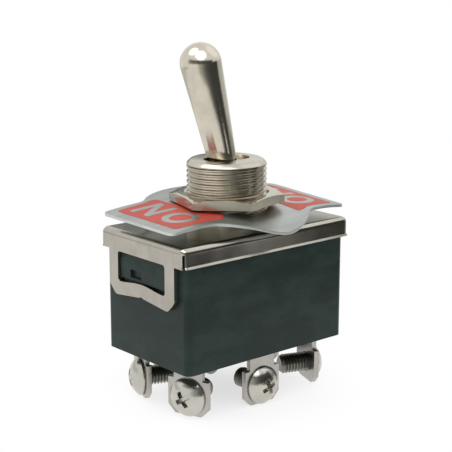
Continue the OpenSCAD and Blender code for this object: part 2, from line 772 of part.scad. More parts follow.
// The stem turns inward over the ledge and ends in a round pad under the contact
module corner_shelf() {
    reach = [contact_x - corner_x, pole_y - corner_y];
    along = reach * cos(corner_turn) + [reach[1], -reach[0]] * sin(corner_turn);
    side = [-along[1], along[0]] / norm(along) * pad_r;
    translate([0, 0, ledge_z]) linear_extrude(strip_t) {
        polygon([[0, -pad_r], [0, pad_r], along - side, along + side]);
        translate(along) circle(pad_r);
    }
}

module corner_terminal(end, side) color(STEEL) at_corner(end, side) difference() {
    corner_frame() {
        tab(ledge_z + strip_t);
        corner_shelf();
    }
    corner_frame() screw_hole();
    translate([contact_x, pole_y, ledge_z - cut])
        cylinder(r = rivet_d / 2 + rivet_fit, h = strip_t + 2 * cut);
}

// The middle strip turns in over the floor and up again, and both uprights are
// notched to carry the bar's knuckle
module mid_terminal(side) color(STEEL) at_corner(1, side) {
    inner = mid_row - 2 * strip_t - saddle_gap;
    difference() {
        union() {
            mid_frame() tab(ear_z, mid_drop);
            block([-stem_w / 2, inner, floor_z], [stem_w / 2, mid_row, floor_z + strip_t]);
            block([-stem_w / 2, inner, floor_z], [stem_w / 2, inner + strip_t, ear_z]);
        }
        mid_frame() screw_hole(mid_drop);
        translate([0, 0, knuckle_z]) y_rod(knuckle_r + pivot_fit, 0, mid_row + cut);
        block([-knuckle_r - pivot_fit, 0, knuckle_z],
              [knuckle_r + pivot_fit, mid_row + cut, ear_z + cut]);
    }
}

// A cross-recessed pan head on a plain shank, along +X out of the tab
module terminal_screw(drop = 0) {
    dome = (pow(head_d / 2, 2) + pow(head_h, 2)) / (2 * head_h) + 0.35;
    translate([0, 0, screw_z - drop]) rotate([0, 90, 0]) {
        translate([0, 0, -screw_l]) cylinder(d = screw_d, h = screw_l + cut);
        difference() {
            intersection() {
                cylinder(d = head_d, h = head_h);
                translate([0, 0, head_h - dome]) sphere(dome);
            }
            for (a = [0, 90]) rotate([0, 0, a + recess_turn])
                translate([-recess_l / 2, -recess_w / 2, head_h - recess_depth])
                    cube([recess_l, recess_w, 2 * recess_depth]);
        }
    }
}

module corner_screw(end, side) color(STEEL) at_corner(end, side) corner_frame() terminal_screw();
module mid_screw(side) color(STEEL) at_corner(1, side) mid_frame() terminal_screw(mid_drop);

// ---------------------------------------------------------------- nodes

housing();
gasket();
cover();
bushing();
panel_nut();
indicator_plate();
lever();
pivot_pin();
carrier();
plunger(-1);  // plunger_front
plunger(1);  // plunger_back
plunger_spring(-1);  // spring_front
plunger_spring(1);  // spring_back
rocker(-1);  // rocker_front
rocker(1);  // rocker_back
moving_contact(-1, -1);  // moving_contact_left_front
moving_contact(1, -1);  // moving_contact_right_front
moving_contact(-1, 1);  // moving_contact_left_back
moving_contact(1, 1);  // moving_contact_right_back
mid_terminal(-1);  // terminal_mid_front
mid_terminal(1);  // terminal_mid_back
corner_terminal(-1, -1);  // terminal_left_front
corner_terminal(1, -1);  // terminal_right_front
corner_terminal(-1, 1);  // terminal_left_back
corner_terminal(1, 1);  // terminal_right_back
fixed_contact(-1, -1);  // fixed_contact_left_front
fixed_contact(1, -1);  // fixed_contact_right_front
fixed_contact(-1, 1);  // fixed_contact_left_back
fixed_contact(1, 1);  // fixed_contact_right_back
mid_screw(-1);  // screw_mid_front
mid_screw(1);  // screw_mid_back
corner_screw(-1, -1);  // screw_left_front
corner_screw(1, -1);  // screw_right_front
corner_screw(-1, 1);  // screw_left_back
corner_screw(1, 1);  // screw_right_back
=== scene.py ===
"""Finished pieces of a panel toggle switch, modelled round its solid frame.

Sizes of the pieces are in millimetres, and MM turns them into metres, which Blender and
the solids use. The camera's place and the floor's sizes are in metres.
"""

import json
import math

import bmesh
import bpy
from mathutils import Matrix, Vector


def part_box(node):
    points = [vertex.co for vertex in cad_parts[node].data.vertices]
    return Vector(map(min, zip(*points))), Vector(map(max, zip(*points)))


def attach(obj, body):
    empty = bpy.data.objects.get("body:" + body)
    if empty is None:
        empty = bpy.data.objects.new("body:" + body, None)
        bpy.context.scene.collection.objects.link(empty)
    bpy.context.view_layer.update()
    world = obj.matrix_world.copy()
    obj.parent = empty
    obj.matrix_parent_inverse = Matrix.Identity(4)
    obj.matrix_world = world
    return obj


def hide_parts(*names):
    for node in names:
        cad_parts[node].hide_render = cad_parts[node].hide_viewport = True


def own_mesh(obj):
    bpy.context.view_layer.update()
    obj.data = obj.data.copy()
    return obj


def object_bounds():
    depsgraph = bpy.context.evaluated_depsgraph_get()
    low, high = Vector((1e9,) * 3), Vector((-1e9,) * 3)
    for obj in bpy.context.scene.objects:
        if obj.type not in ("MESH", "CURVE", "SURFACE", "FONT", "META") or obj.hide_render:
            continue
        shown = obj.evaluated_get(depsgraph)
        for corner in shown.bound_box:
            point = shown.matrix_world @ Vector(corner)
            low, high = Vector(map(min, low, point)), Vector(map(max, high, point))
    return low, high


bl_info = {
    "name": "Panel toggle switch",
    "version": (1, 0, 0),
    "blender": (4, 5, 0),
    "location": "3D View > Sidebar > Switch",
    "description": "Finished pieces of a panel toggle switch, fitted to its solid model",
    "category": "Object",
}

MM = 0.001
MERGE = 1e-6  # metres within which a solid's loose corners are one
CUT = 1e-7  # how close to a cutting plane a corner counts as on it
CREST_SHARE = 0.36  # of the thread's flat part, how much is crest and not root

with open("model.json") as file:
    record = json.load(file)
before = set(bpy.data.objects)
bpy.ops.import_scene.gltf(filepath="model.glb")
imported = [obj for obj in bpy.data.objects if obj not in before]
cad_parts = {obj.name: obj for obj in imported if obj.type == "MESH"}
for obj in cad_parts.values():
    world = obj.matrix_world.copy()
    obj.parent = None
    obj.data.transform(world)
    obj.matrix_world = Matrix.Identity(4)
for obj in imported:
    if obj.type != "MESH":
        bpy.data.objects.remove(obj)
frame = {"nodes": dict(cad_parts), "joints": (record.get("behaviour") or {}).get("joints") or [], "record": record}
SOLID_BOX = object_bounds()
NODES = frame["nodes"]
MOUNTS = {mount["name"]: mount for mount in frame["record"]["mounts"]}


# ---- sizes and colours


def length(name, text, value):
    """A length property whose default is given in millimetres."""
    return bpy.props.FloatProperty(
        name=name, description=text, default=value * MM, min=0, unit="LENGTH", precision=5
    )


def angle(name, text, value):
    """An angle property whose default is given in degrees."""
    return bpy.props.FloatProperty(
        name=name, description=text, default=math.radians(value), subtype="ANGLE"
    )


def colour(name, text, value):
    """A linear colour property."""
    return bpy.props.FloatVectorProperty(
        name=name, description=text, default=value, min=0, max=1, subtype="COLOR"
    )


class SwitchEdges(bpy.types.PropertyGroup):
    cover: length("Cover", "Rounding of the pressed cover's edges", 0.16)
    lip: length("Lip", "Outward turn of the cover's lower edge", 0.22)
    corner: length("Corner", "Rounding of the corners of the clips and their windows", 0.45)
    housing: length("Housing", "Rounding of the moulded housing's edges", 0.22)
    plate: length("Plate", "Rounding of the indicator plate's edges", 0.07)
    strip: length("Strip", "Rounding of the terminals' sheared edges", 0.09)
    nut: length("Nut", "Rounding of the nut's edges", 0.22)


class SwitchThreads(bpy.types.PropertyGroup):
    bushing_pitch: length("Bushing pitch", "Rise of the bushing's thread in a turn", 0.75)
    bushing_depth: length("Bushing depth", "Depth of the bushing's thread", 0.29)
    bushing_round: length("Bushing round", "Rounding of the bushing's top edge", 0.26)
    screw_pitch: length("Screw pitch", "Rise of a terminal screw's thread in a turn", 0.5)
    screw_depth: length("Screw depth", "Depth of a terminal screw's thread", 0.3)
    nut_mouth: length("Nut mouth", "Countersink round the nut's bore", 0.36)


class SwitchLever(bpy.types.PropertyGroup):
    tilt: angle("Tilt", "Lean of the lever towards the ON end", 15.5)
    neck_width: length("Neck", "Diameter of the lever above the bushing", 4.3)
    tip_width: length("Tip", "Diameter of the lever's rounded tip", 6.0)
    reach: length("Reach", "Length of the lever above its pivot", 21.08)
    stroke: length("Stroke", "Travel of a plunger against its spring", 0.8)
    neck: length("Neck length", "Straight part of the lever above its pivot", 3.6)
    ball: length("Ball", "Diameter of the ball that the lever turns on", 6.9)


class SwitchPlate(bpy.types.PropertyGroup):
    paint: length("Paint", "Thickness of the enamel above the sheet", 0.03)
    letter_height: length("Letter height", "Height of the ON and OFF lettering", 5.6)
    stroke: length("Stroke", "Width of the letters' strokes", 1.05)
    letter_middle: length("Letter place", "Distance from the bushing to the lettering's middle", 11.1)
    red: colour("Red", "Colour of the enamel fields", (0.42, 0.05, 0.03))


class SwitchColours(bpy.types.PropertyGroup):
    phenolic: colour("Phenolic", "Dark moulded housing", (0.012, 0.024, 0.020))
    sheet: colour("Sheet", "Nickel plate on the pressed cover", (0.43, 0.405, 0.355))
    turned: colour("Turned", "Nickel plate on bushing, nut and lever", (0.60, 0.55, 0.46))
    plate: colour("Plate", "Satin aluminium of the indicator plate", (0.42, 0.44, 0.42))
    strip: colour("Strip", "Tinned strip of the terminals", (0.45, 0.43, 0.40))
    screw: colour("Screw", "Nickel-plated screw steel", (0.54, 0.52, 0.47))
    brass: colour("Brass", "Stamped brass of the contact bars", (0.72, 0.50, 0.22))
    silver: colour("Silver", "Silver of the contact faces", (0.85, 0.84, 0.81))
    fibre: colour("Fibre", "Vulcanised fibre of the gasket", (0.20, 0.12, 0.075))
    carrier: colour("Carrier", "Brown moulded carrier", (0.09, 0.042, 0.024))
    nylon: colour("Nylon", "Natural nylon of the plungers", (0.72, 0.69, 0.60))


class SwitchStage(bpy.types.PropertyGroup):
    eye: bpy.props.FloatVectorProperty(
        name="Camera", description="Place of the camera", subtype="XYZ", unit="LENGTH",
        default=(-0.11882, -0.13857, 0.04175),
    )
    aim: bpy.props.FloatVectorProperty(
        name="Aim", description="Point that the camera looks at", subtype="XYZ", unit="LENGTH",
        default=(-0.000115, 0.0, -0.000767),
    )
    lens: bpy.props.FloatProperty(
        name="Lens", description="Focal length on a 36 mm wide frame", default=100.14,
        unit="CAMERA",
    )
    ambient: bpy.props.FloatProperty(
        name="Ambient", description="Level of the light from all round", default=0.75, min=0
    )


GROUPS = {
    "switch_edges": SwitchEdges,
    "switch_threads": SwitchThreads,
    "switch_lever": SwitchLever,
    "switch_plate": SwitchPlate,
    "switch_colours": SwitchColours,
    "switch_stage": SwitchStage,
}


# ---- bench work


def clear():
    """Leaves edit mode and deselects everything."""
    if bpy.context.object and bpy.context.object.mode != "OBJECT":
        bpy.ops.object.mode_set(mode="OBJECT")
    bpy.ops.object.select_all(action="DESELECT")


def pick(piece):
    """Makes one piece the only one selected, and active."""
    clear()
    piece.select_set(True)
    bpy.context.view_layer.objects.active = piece
    return piece


def open_up(piece, kind="VERT"):
    """Enters edit mode on a piece with all of its mesh selected."""
    pick(piece)
    bpy.ops.object.mode_set(mode="EDIT")
    bpy.ops.mesh.select_mode(type=kind)
    bpy.ops.mesh.select_all(action="SELECT")


def close_up():
    """Leaves edit mode."""
    bpy.ops.object.mode_set(mode="OBJECT")


def choose(piece, kind, test):
    """Selects the vertices, edges or faces that pass a test, and enters edit mode."""
    open_up(piece, kind)
    bpy.ops.mesh.select_all(action="DESELECT")
    close_up()
    mesh = piece.data
    items = {"VERT": mesh.vertices, "EDGE": mesh.edges, "FACE": mesh.polygons}[kind]
    found = 0
    for item in items:
        item.select = test(item)
        found += item.select
    if not found:
        raise RuntimeError(f"nothing to select on {piece.name}")
    bpy.ops.object.mode_set(mode="EDIT")


def apply(piece, kind, **settings):
    """Adds a modifier with its settings and applies it."""
    pick(piece)
    modifier = piece.modifiers.new(kind.title(), kind)
    for name, value in settings.items():
        setattr(modifier, name, value)
    bpy.ops.object.modifier_apply(modifier=modifier.name)
    return piece


def drop(*pieces):
    """Clears away pieces that were only tools."""
    for piece in pieces:
        bpy.data.objects.remove(piece)


def volume(piece):
    """A closed piece's volume in cubic millimetres."""
    made = bmesh.new()
    made.from_mesh(piece.data)
    found = made.calc_volume() / MM ** 3
    made.free()
    return found


def joined(operation, piece, other, least=0.5, most=1.0):
    """An exact union, difference or intersection, which keeps a likely share of the volume."""
    before = volume(piece)
    apply(piece, "BOOLEAN", operation=operation, object=other, solver="EXACT")
    drop(other)
    share = volume(piece) / before
    if not least <= share <= most + 0.001:
        raise RuntimeError(f"{piece.name} kept {share:.3f} of its volume in a {operation}")
    return piece


def named(name):
    """Names the piece just made, and its mesh."""
    piece = bpy.context.object
    piece.name = piece.data.name = name
    return piece


def drawn(name, points, filled=False):
    """A line drawn from point to point, or the face inside it."""
    clear()
    bpy.ops.mesh.primitive_plane_add(size=MM)
    line = named(name)
    open_up(line)
    bpy.ops.mesh.merge(type="CENTER")
    points = [Vector(point) * MM for point in points]
    bpy.ops.transform.translate(value=points[0])
    for here, there in zip(points, points[1:]):
        bpy.ops.mesh.extrude_region_move(TRANSFORM_OT_translate={"value": there - here})
    if filled:
        bpy.ops.mesh.select_all(action="SELECT")
        bpy.ops.mesh.edge_face_add()
    close_up()
    return line


def tidy(piece, gap=0.0004):
    """Merges doubles and turns the faces outwards."""
    open_up(piece)
    bpy.ops.mesh.remove_doubles(threshold=gap * MM)
    bpy.ops.mesh.normals_make_consistent(inside=False)
    close_up()
    return piece


def turned(name, profile, steps=96):
    """A solid spun about Z from (radius, height) points."""
    solid = drawn(name, [(radius, 0, height) for radius, height in profile])
    open_up(solid)
    bpy.ops.mesh.spin(steps=steps, angle=math.tau, center=(0, 0, 0), axis=(0, 0, 1))
    close_up()
    return tidy(solid)


def threaded_rod(name, crest, depth, pitch, low, high, steps=120):
    """A right-hand thread with its flanks at 60 degrees, cut flat at both ends."""
    flank = depth * math.tan(math.radians(30))
    top = (pitch - 2 * flank) * CREST_SHARE
    start = low - 1.5 * pitch
    tooth = drawn(name, [
        (crest - depth, 0, start),
        (crest - depth, 0, start + pitch - 2 * flank - top),
        (crest, 0, start + pitch - flank - top),
        (crest, 0, start + pitch - flank),
        (crest - depth, 0, start + pitch),
    ])
    turns = math.ceil((high - low) / pitch) + 3
    apply(
        tooth, "SCREW", axis="Z", angle=math.tau, steps=steps, render_steps=steps,
        screw_offset=pitch * MM, iterations=turns, use_smooth_shade=False,
    )
    tidy(tooth)
    for height, side in ((low, "clear_inner"), (high, "clear_outer")):
        open_up(tooth)
        bpy.ops.mesh.bisect(
            plane_co=(0, 0, height * MM), plane_no=(0, 0, 1), use_fill=True,
            **{side: True}, threshold=CUT,
        )
    close_up()
    return tidy(tooth)


def copy_of(node, name):
    """A piece of its own with a CAD node's shape, its loose triangles merged into plain faces."""
    pick(NODES[node])
    bpy.ops.object.duplicate()
    piece = named(name)
    piece.parent = None
    piece.matrix_world = Matrix.Identity(4)
    for key in [key for key in piece.keys() if key.startswith("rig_")]:
        del piece[key]
    piece.data.materials.clear()
    open_up(piece)
    bpy.ops.mesh.customdata_custom_splitnormals_clear()
    bpy.ops.mesh.remove_doubles(threshold=MERGE)
    bpy.ops.mesh.dissolve_limited(angle_limit=math.radians(0.6))
    close_up()
    return piece


def soften(piece, width, limit=28, segments=2, smooth=35):
    """Rounds every edge sharper than the limit, and shades the rest smooth."""
    apply(
        piece, "BEVEL", width=width, segments=segments, limit_method="ANGLE",
        angle_limit=math.radians(limit), use_clamp_overlap=True, profile=0.5,
    )
    smooth_off(piece, smooth)
    return apply(piece, "WEIGHTED_NORMAL", mode="FACE_AREA", weight=50, keep_sharp=True)


def smooth_off(piece, degrees=35):
    """Shades a piece smooth but for edges sharper than an angle."""
    pick(piece)
    bpy.ops.object.shade_smooth_by_angle(angle=math.radians(degrees))
    return piece


def fit(piece, finish, body, slot, *stands_for):
    """Gives a piece its finish and its body, and hides the nodes that it stands for."""
    piece.data.materials.clear()
    piece.data.materials.append(finish)
    if stands_for:
        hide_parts(*stands_for)
    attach(piece, body)
    return piece


def dress(node, finish):
    """Puts a finish on a node that is shown as it is."""
    shown = NODES[node]
    if not shown.material_slots:
        raise RuntimeError(f"{node} has no material slot")
    for place in shown.material_slots:
        place.link = "OBJECT"
        place.material = finish


# ---- finishes


class Wire:
    """A node's output, on which sums can be written."""

    def __init__(self, works, socket):
        self.works, self.socket = works, socket

    def maths(self, operation, *values, clamp=False):
        sockets = {i: value for i, value in enumerate(values)}
        return self.works.add(
            "ShaderNodeMath", {"operation": operation, "use_clamp": clamp}, sockets
        )

    def __add__(self, other):
        return self.maths("ADD", self, other)

    def __sub__(self, other):
        return self.maths("SUBTRACT", self, other)

    def __rsub__(self, other):
        return self.maths("SUBTRACT", other, self)

    def __mul__(self, other):
        return self.maths("MULTIPLY", self, other)

    __radd__ = __add__
    __rmul__ = __mul__

    def clipped(self):
        """The same value, kept between 0 and 1."""
        return self.maths("ADD", self, 0.0, clamp=True)

    def above(self, low, high):
        """0 below low, 1 above high, and smooth between."""
        return self.works.add(
            "ShaderNodeMapRange", {"interpolation_type": "SMOOTHSTEP", "clamp": True},
            {"Value": self, "From Min": low, "From Max": high, "To Min": 0.0, "To Max": 1.0},
        )


class Works:
    """The node tree of one finish."""

    def __init__(self, tree):
        self.tree = tree
        tree.nodes.clear()

    def add(self, kind, settings=None, sockets=None, output=0):
        """Adds a node: its settings first, then its sockets' values or links."""
        node = self.tree.nodes.new(kind)
        for name, value in (settings or {}).items():
            if name == "stops":
                stops = node.color_ramp.elements
                stops[0].color, stops[-1].color = (*value[0][1], 1), (*value[-1][1], 1)
                stops[0].position, stops[-1].position = value[0][0], value[-1][0]
                for place, shade in value[1:-1]:
                    stops.new(place).color = (*shade, 1)
            else:
                setattr(node, name, value)
        for name, value in (sockets or {}).items():
            socket = node.inputs[name]
            if isinstance(value, Wire):
                self.tree.links.new(value.socket, socket)
            elif socket.type == "RGBA" and len(value) == 3:
                socket.default_value = (*value, 1)
            else:
                socket.default_value = value
        return Wire(self, node.outputs[output]) if node.outputs else node

    def place(self, stretch=(1, 1, 1), turn=(0, 0, 0)):
        """Object coordinates in millimetres, stretched and turned."""
        spot = self.add("ShaderNodeTexCoord", output="Object")
        return self.add("ShaderNodeMapping", None, {
            "Vector": spot, "Rotation": turn, "Scale": [1000 * s for s in stretch],
        })

    def noise(self, scale, detail=3.0, rough=0.5, stretch=(1, 1, 1), turn=(0, 0, 0)):
        """Cloudy noise with scale features to a millimetre."""
        return self.add("ShaderNodeTexNoise", None, {
            "Vector": self.place(stretch, turn), "Scale": scale, "Detail": detail,
            "Roughness": rough,
        }, "Fac")

    def mix(self, share, low, high):
        """A colour between two, by a share."""
        return self.add(
            "ShaderNodeMix", {"data_type": "RGBA"}, {0: share, 6: low, 7: high}, 2
        )

    def ramp(self, value, *stops):
        """A colour read off a scale of (place, colour) stops."""
        return self.add("ShaderNodeValToRGB", {"stops": stops}, {"Fac": value}, "Color")

    def bump(self, height, depth, strength=1.0):
        """A bump whose height is in millimetres."""
        return self.add("ShaderNodeBump", None, {
            "Height": height, "Distance": depth * MM, "Strength": strength,
        })

    def surface(self, **sockets):
        """The principled surface, wired to the output."""
        names = {name.replace("_", " "): value for name, value in sockets.items()}
        shader = self.add("ShaderNodeBsdfPrincipled", None, names)
        self.add("ShaderNodeOutputMaterial", None, {"Surface": shader})


def finish_of(name):
    """The tree of a new finish, and the finish itself."""
    made = bpy.data.materials.new(name)
    made.use_nodes = True
    return Works(made.node_tree), made


def shade(colour_, by):
    """A colour made darker or lighter."""
    return tuple(min(1.0, part * by) for part in colour_)


def plated(name, tint, rough, grain, depth, soil):
    """Bright metal: drawn or polishing lines along its grain, faint smudges and dull spots."""
    works, made = finish_of(name)
    lines = works.noise(6.0, 4.0, 0.65, grain)
    cloud = works.noise(0.28, 4.0, 0.6)
    spots = works.noise(3.2, 5.0, 0.7).above(0.62, 0.74)
    base = works.mix(cloud.above(0.3, 0.7), shade(tint, 0.9), shade(tint, 1.06))
    base = works.mix(spots * soil, base, shade(tint, 0.45))
    works.surface(
        Base_Color=base, Metallic=1.0,
        Roughness=(
            rough + (lines - 0.5) * rough * 0.6 + (cloud - 0.5) * rough * 0.5 + spots * 0.12
        ),
        Normal=works.bump(lines, depth, 0.5),
    )
    return made


def finishes(colours, plate):
    """Every finish of the switch, by name."""
    made = {}

    works, made["phenolic"] = finish_of("phenolic")
    speck = works.noise(9.0, 3.0, 0.6)
    flow = works.noise(0.16, 5.0, 0.6, (1, 1, 2.2))
    dust = works.noise(2.1, 6.0, 0.75).above(0.6, 0.72)
    pale, dark = shade(colours.phenolic, 1.35), shade(colours.phenolic, 0.8)
    body = works.mix(flow.above(0.35, 0.7), dark, pale)
    body = works.mix(speck.above(0.62, 0.8) * 0.35, body, (0.06, 0.075, 0.07))
    works.surface(
        Base_Color=works.mix(dust * 0.12, body, (0.11, 0.12, 0.11)),
        Roughness=0.34 + (flow - 0.5) * 0.18 + dust * 0.12 + (speck - 0.5) * 0.05,
        Normal=works.bump(speck + works.noise(1.2, 3.0) * 1.5, 0.006, 0.35),
        Specular_IOR_Level=0.2,
    )

    for name, label, tint, rough, grain, depth, soil in (
        ("sheet", "nickel_sheet", colours.sheet, 0.17, (0.12, 1.4, 1.4), 0.003, 0.12),
        ("turned", "nickel_turned", shade(colours.turned, 0.88), 0.23, (0.6, 0.6, 3), 0.004, 0.3),
        ("nut", "nickel_nut", shade(colours.turned, 0.92), 0.16, (0.8, 0.8, 0.8), 0.008, 0.3),
        ("polished", "nickel_polished", colours.turned, 0.15, (1, 1, 0.5), 0.012, 0.16),
        ("strip", "tinned_strip", colours.strip, 0.27, (1.2, 1.2, 0.18), 0.004, 0.2),
        # The plate's sheared rim: rougher, and its colour made lighter as a painted highlight
        ("sheared", "sheared_aluminium", shade(colours.plate, 1.5), 0.55, (1, 1, 3), 0.006, 0.12),
        ("screw", "nickel_screw", colours.screw, 0.18, (0.45, 0.45, 0.45), 0.03, 0.6),
        # The shank below the head: the screw's colour at half its brightness
        ("shank", "oiled_shank", shade(colours.screw, 0.5), 0.34, (1, 1, 1), 0.01, 0.6),
        ("steel", "plain_steel", (0.5, 0.49, 0.48), 0.3, (1, 1, 1), 0.003, 0.3),
        ("brass", "contact_brass", colours.brass, 0.26, (0.2, 1.2, 1.2), 0.004, 0.3),
        ("silver", "contact_silver", colours.silver, 0.2, (1, 1, 1), 0.002, 0.2),
    ):
        made[name] = plated(label, tint, rough, grain, depth, soil)

    works, made["plate"] = finish_of("plate_aluminium")
    lines = works.noise(7.0, 6.0, 0.75, (0.07, 1.5, 1.0), (0, 0, 0.9))
    broad = works.noise(0.3, 3.0, 0.5, (0.4, 1.5, 1.0))
    haze = works.noise(0.9, 5.0, 0.7).above(0.55, 0.8)
    base = works.mix(broad.above(0.3, 0.7), shade(colours.plate, 0.86), shade(colours.plate, 1.1))
    works.surface(
        Base_Color=works.mix(haze * 0.25, base, shade(colours.plate, 0.62)),
        Metallic=1.0,
        Roughness=0.36 + (lines - 0.5) * 0.22 + haze * 0.12,
        Normal=works.bump(lines, 0.014, 0.6),
    )

    works, made["enamel"] = finish_of("red_enamel")
    peel = works.noise(2.6, 2.0, 0.5)
    worn = works.noise(0.7, 6.0, 0.72).above(0.56, 0.78)
    base = works.mix(works.noise(0.2, 3.0), shade(plate.red, 0.82), shade(plate.red, 1.18))
    works.surface(
        Base_Color=works.mix(worn * 0.3, base, (0.42, 0.17, 0.13)),
        Roughness=0.42 + worn * 0.2 + (peel - 0.5) * 0.1,
        Normal=works.bump(peel, 0.006, 0.4),
        Specular_IOR_Level=0.3,
    )

    for name, tint, rough in (
        ("fibre", colours.fibre, 0.7),
        ("carrier", colours.carrier, 0.48),
        ("nylon", colours.nylon, 0.42),
    ):
        works, made[name] = finish_of("moulded_" + name)
        grain = works.noise(4.0, 5.0, 0.7, (0.5, 1, 1))
        cloud = works.noise(0.5, 4.0)
        works.surface(
            Base_Color=works.mix(cloud.above(0.3, 0.7), shade(tint, 0.8), shade(tint, 1.15)),
            Roughness=rough + (grain - 0.5) * 0.25,
            Normal=works.bump(grain, 0.012, 0.5),
        )
    return made


# ---- operators


class Making:
    """What the switch's operators share."""

    bl_options = {"REGISTER", "UNDO"}
    shelf = {}  # finishes by name

    @classmethod
    def finish(cls, context, name):
        """A finish by name; all of them are made when the first is asked for."""
        if not Making.shelf:
            Making.shelf.update(
                finishes(context.scene.switch_colours, context.scene.switch_plate)
            )
        return Making.shelf[name]


class SWITCH_OT_cover(Making, bpy.types.Operator):
    """Pressed cover: folded skirt, mitred corners and a crimped clip at each end"""

    bl_idname = "switch.cover"
    bl_label = "Cover"

    STRIP = 0.32  # height of the skirt's strip that turns out
    # Axis and direction of each side, and its share of the turn
    SIDES = ((1, -1, 1.0), (1, 1, 0.35), (0, -1, 0.35), (0, 1, 0.35))
    SHEET = 0.9  # a little more than the sheet's thickness
    CLIP = 7.65  # a little more than half of a clip's width
    CORNERS_OUT = 5.4  # clips and windows have their corners further out than this
    CORNERS_TOP = -2.95  # and lower than this

    def execute(self, context):
        cover = copy_of("cover", "pressed_cover")
        edges = context.scene.switch_edges
        self.flare(cover, edges.lip)
        self.round_clips(cover, edges.corner)
        soften(cover, edges.cover, segments=3)
        fit(cover, self.finish(context, "sheet"), "switch_body", "nickel_sheet", "cover")
        return {"FINISHED"}

    @classmethod
    def flare(cls, cover, lip):
        """Turns the skirt's lower edge out a little, beside the clips."""
        low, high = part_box("cover")
        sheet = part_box("gasket")[1].z
        skirt = max(
            vertex.co.z for vertex in cover.data.vertices
            if vertex.co.y < low.y + 0.01 * MM and vertex.co.z < sheet - MM
        )
        open_up(cover)
        bpy.ops.mesh.bisect(
            plane_co=(0, 0, skirt + cls.STRIP * MM), plane_no=(0, 0, 1), threshold=CUT
        )
        close_up()
        for axis, way, share in cls.SIDES:
            inner = high[axis] - cls.SHEET * MM
            choose(cover, "VERT", lambda vertex: (
                vertex.co[axis] * way > inner
                and (axis == 1 or abs(vertex.co.y) > cls.CLIP * MM)
                and abs(vertex.co.z - skirt) < 0.02 * MM
            ))
            move = [0, 0, 0]
            move[axis] = way * share * lip
            bpy.ops.transform.translate(value=move)
            close_up()

    @classmethod
    def round_clips(cls, cover, corner):
        """Rounds the corners of each clip and of its window, seen from the ends."""

        def across(edge):
            ends = [cover.data.vertices[index].co / MM for index in edge.vertices]
            along = ends[1] - ends[0]
            return (
                abs(along.x) > 0.5 and Vector((along.y, along.z)).length < 0.02
                and abs(ends[0].y) > cls.CORNERS_OUT and ends[0].z < cls.CORNERS_TOP
            )

        choose(cover, "EDGE", across)
        bpy.ops.mesh.bevel(offset=corner, segments=3, clamp_overlap=True)
        close_up()


class SWITCH_OT_housing(Making, bpy.types.Operator):
    """Moulded housing with its clip lugs, and the gasket on its top"""

    bl_idname = "switch.housing"
    bl_label = "Housing"

    def execute(self, context):
        housing = copy_of("housing", "moulded_housing")
        soften(housing, context.scene.switch_edges.housing, segments=3)
        fit(housing, self.finish(context, "phenolic"), "switch_body", "phenolic", "housing")
        dress("gasket", self.finish(context, "fibre"))
        return {"FINISHED"}


class SWITCH_OT_bushing(Making, bpy.types.Operator):
    """Bushing with its thread cut as a helix"""

    bl_idname = "switch.bushing"
    bl_label = "Bushing"

    # A sleeve fills the solid's waist under the nut, and a threaded rod then cuts the thread
    SLEEVE_FOOT = 2.5  # height at which the sleeve starts
    SLEEVE_OVER = 0.04  # its reach above the waist
    SLEEVE_DEEP = 1.2  # its inside below the crest
    SLEEVE_UNDER = 0.02  # its outside below the crest
    ROD_OVER = 0.03  # how far the rod's own crest stands out past the bushing's
    ROD_FOOT = 1.2  # height at which the rod starts
    THREAD_FOOT = 1.6  # height at which its thread starts to cut
    THREAD_STOP = 0.15  # end of the thread below the chamfer's foot
    PLAIN = 9  # radius of the rod's plain ends, which cut nothing
    FOOT_ROUND = 0.12  # rounding of the chamfer's foot

    def execute(self, context):
        threads = context.scene.switch_threads
        low, high = (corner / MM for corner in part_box("bushing"))
        free = MOUNTS["panel_bushing"]
        crest, half = free["dims"]["r_mm"], free["dims"]["length_mm"] / 2
        middle = free["pos_m"][2] / MM
        neck, shoulder = middle - half + self.SLEEVE_OVER, middle + half - self.THREAD_STOP
        bushing = copy_of("bushing", "threaded_bushing")
        inside, outside = crest - self.SLEEVE_DEEP, crest - self.SLEEVE_UNDER
        sleeve = turned("sleeve", [
            (inside, self.SLEEVE_FOOT), (outside, self.SLEEVE_FOOT), (outside, neck),
            (inside, neck), (inside, self.SLEEVE_FOOT),
        ])
        joined("UNION", bushing, sleeve, 1, 1.2)
        rod = threaded_rod(
            "rod", crest + self.ROD_OVER, threads.bushing_depth / MM + self.ROD_OVER,
            threads.bushing_pitch / MM, self.ROD_FOOT, high.z + 0.5,
        )
        for name, bottom, top in (
            ("base", low.z - 1, self.THREAD_FOOT), ("cap", shoulder, high.z + 1),
        ):
            block = turned(name, [(0, bottom), (self.PLAIN, bottom), (self.PLAIN, top), (0, top)])
            joined("UNION", rod, block, 1, 3)
        joined("INTERSECT", bushing, rod, 0.85)
        tidy(bushing)
        rim = max(
            vertex.co.xy.length for vertex in bushing.data.vertices
            if vertex.co.z > (high.z - 0.01) * MM
        )
        for radius, height, width in (
            (rim, high.z, threads.bushing_round),
            (crest * MM, shoulder + self.THREAD_STOP, self.FOOT_ROUND * MM),
        ):
            choose(bushing, "EDGE", lambda edge: all(
                abs(place.xy.length - radius) < 0.04 * MM
                and abs(place.z - height * MM) < 0.01 * MM
                for place in (bushing.data.vertices[index].co for index in edge.vertices)
            ))
            bpy.ops.mesh.bevel(offset=width, segments=3)
            close_up()
        smooth_off(bushing, 24)
        fit(bushing, self.finish(context, "turned"), "switch_body", "nickel_turned", "bushing")
        return {"FINISHED"}


